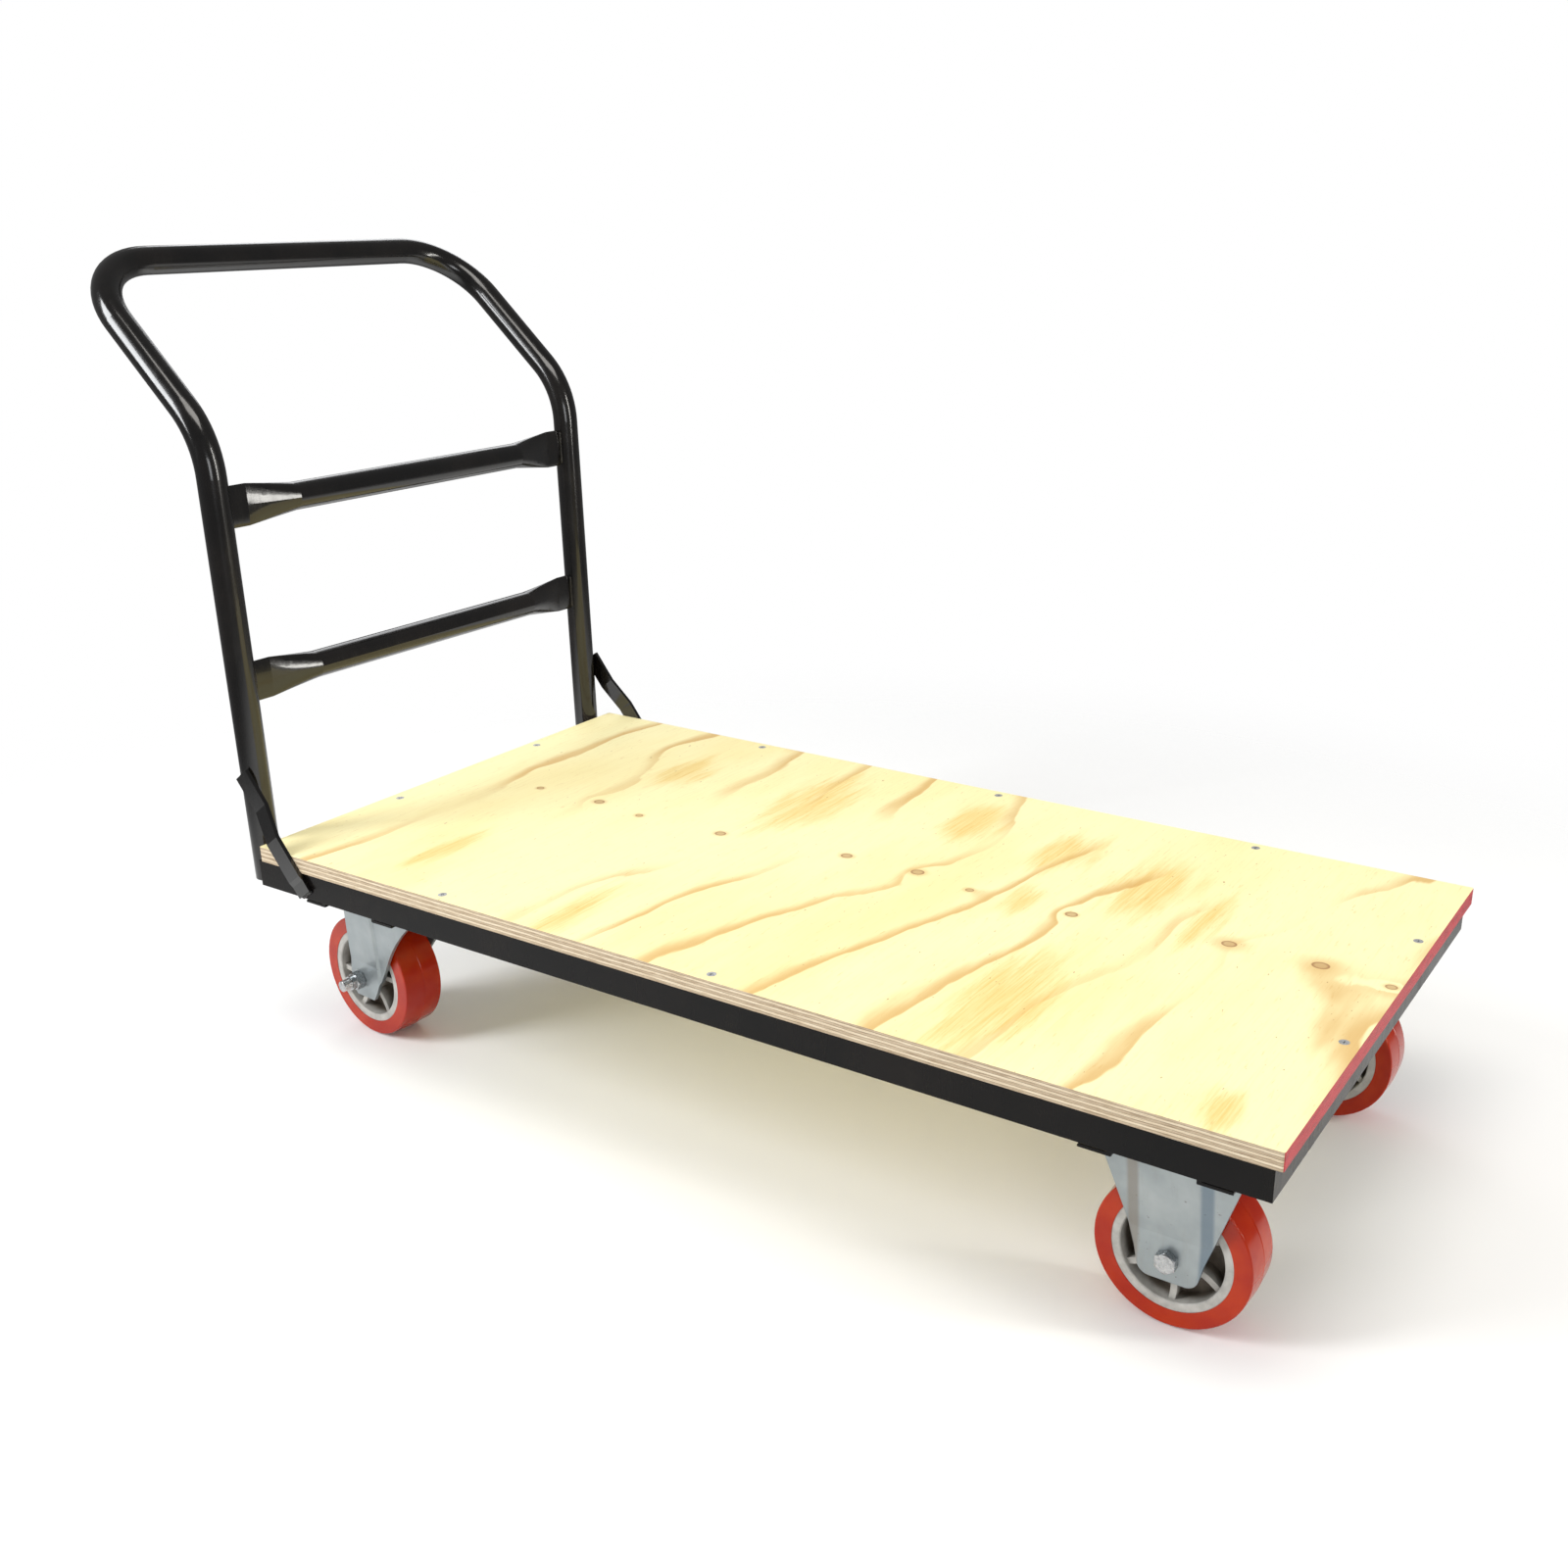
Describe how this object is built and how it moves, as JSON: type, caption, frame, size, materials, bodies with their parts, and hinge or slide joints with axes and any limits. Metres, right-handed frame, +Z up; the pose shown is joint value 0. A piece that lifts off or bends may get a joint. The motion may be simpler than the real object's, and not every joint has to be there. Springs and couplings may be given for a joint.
{
  "type": "flatbed platform truck",
  "caption": "Flatbed platform truck: plywood deck on a steel angle frame, bent tube handle at the rear, rigid casters in front and swivel casters behind.",
  "frame": {"origin": "middle of the bottom face of the truck's box, on the floor under the wheels", "axes": "+X towards the front, away from the handle; +Y to the left of a person at the handle; +Z up"},
  "size_m": [1.4449, 0.6192, 0.9057],
  "materials": {
    "plywood": "bare sanded plywood, seven plies showing at the edges",
    "frame_black": "gloss black paint on steel angle",
    "handle_black": "gloss black paint on steel tube",
    "screw_zinc": "dull zinc-plated screws",
    "zinc_sheet": "zinc-plated pressed steel, blue-grey and a little stained",
    "bolt_zinc": "zinc-plated bolts and nuts",
    "bearing_steel": "ground and greased bearing steel",
    "tread_red": "orange-red cast polyurethane, satin gloss",
    "core_grey": "grey-beige moulded plastic, slightly dusty"
  },
  "bodies": {
    "truck": {"deck_board": "plywood", "deck_screws": "screw_zinc", "frame_rail_left": "frame_black", "frame_rail_right": "frame_black", "frame_end_front": "frame_black", "frame_end_rear": "frame_black", "cross_member_front_inner": "frame_black", "cross_member_front_outer": "frame_black", "cross_member_rear_inner": "frame_black", "cross_member_rear_outer": "frame_black", "handle_tube": "handle_black", "handle_bar_upper": "handle_black", "handle_bar_lower": "handle_black", "handle_brace_left": "handle_black", "handle_brace_right": "handle_black", "caster_bolts": "bolt_zinc", "caster_nuts": "bolt_zinc", "rigid_fork_left": "zinc_sheet", "rigid_axle_bolt_left": "bolt_zinc", "rigid_axle_nut_left": "bolt_zinc", "rigid_axle_washers_left": "bolt_zinc", "rigid_axle_sleeve_left": "bearing_steel", "swivel_top_plate_left": "zinc_sheet", "swivel_race_ring_left": "zinc_sheet", "swivel_kingpin_left": "bolt_zinc", "swivel_kingpin_nut_left": "bolt_zinc", "rigid_fork_right": "zinc_sheet", "rigid_axle_bolt_right": "bolt_zinc", "rigid_axle_nut_right": "bolt_zinc", "rigid_axle_washers_right": "bolt_zinc", "rigid_axle_sleeve_right": "bearing_steel", "swivel_top_plate_right": "zinc_sheet", "swivel_race_ring_right": "zinc_sheet", "swivel_kingpin_right": "bolt_zinc", "swivel_kingpin_nut_right": "bolt_zinc"},
    "rigid_wheel_left": {"rigid_wheel_core_left": "core_grey", "rigid_wheel_tread_left": "tread_red", "rigid_wheel_rollers_left": "bearing_steel"},
    "swivel_fork_left": {"swivel_fork_left": "zinc_sheet", "swivel_balls_left": "bearing_steel", "swivel_axle_bolt_left": "bolt_zinc", "swivel_axle_nut_left": "bolt_zinc", "swivel_axle_washers_left": "bolt_zinc", "swivel_axle_sleeve_left": "bearing_steel"},
    "swivel_wheel_left": {"swivel_wheel_core_left": "core_grey", "swivel_wheel_tread_left": "tread_red", "swivel_wheel_rollers_left": "bearing_steel"},
    "rigid_wheel_right": {"rigid_wheel_core_right": "core_grey", "rigid_wheel_tread_right": "tread_red", "rigid_wheel_rollers_right": "bearing_steel"},
    "swivel_fork_right": {"swivel_fork_right": "zinc_sheet", "swivel_balls_right": "bearing_steel", "swivel_axle_bolt_right": "bolt_zinc", "swivel_axle_nut_right": "bolt_zinc", "swivel_axle_washers_right": "bolt_zinc", "swivel_axle_sleeve_right": "bearing_steel"},
    "swivel_wheel_right": {"swivel_wheel_core_right": "core_grey", "swivel_wheel_tread_right": "tread_red", "swivel_wheel_rollers_right": "bearing_steel"}
  },
  "joints": [
    {"name": "rigid_wheel_spin_left", "type": "hinge", "parent": "truck", "child": "rigid_wheel_left", "pos_m": [0.61087, 0.2124, 0.0762], "axis": [0, 1, 0], "continuous": true},
    {"name": "swivel_turn_left", "type": "hinge", "parent": "truck", "child": "swivel_fork_left", "pos_m": [-0.36752, 0.2124, 0.18], "axis": [0, 0, 1], "continuous": true},
    {"name": "swivel_wheel_spin_left", "type": "hinge", "parent": "swivel_fork_left", "child": "swivel_wheel_left", "pos_m": [-0.42552, 0.2124, 0.0762], "axis": [0, 1, 0], "continuous": true},
    {"name": "rigid_wheel_spin_right", "type": "hinge", "parent": "truck", "child": "rigid_wheel_right", "pos_m": [0.61087, -0.2124, 0.0762], "axis": [0, 1, 0], "continuous": true},
    {"name": "swivel_turn_right", "type": "hinge", "parent": "truck", "child": "swivel_fork_right", "pos_m": [-0.36752, -0.2124, 0.18], "axis": [0, 0, 1], "continuous": true},
    {"name": "swivel_wheel_spin_right", "type": "hinge", "parent": "swivel_fork_right", "child": "swivel_wheel_right", "pos_m": [-0.4253, -0.20735, 0.0762], "axis": [0.0872, 0.9962, 0], "continuous": true}
  ]
}
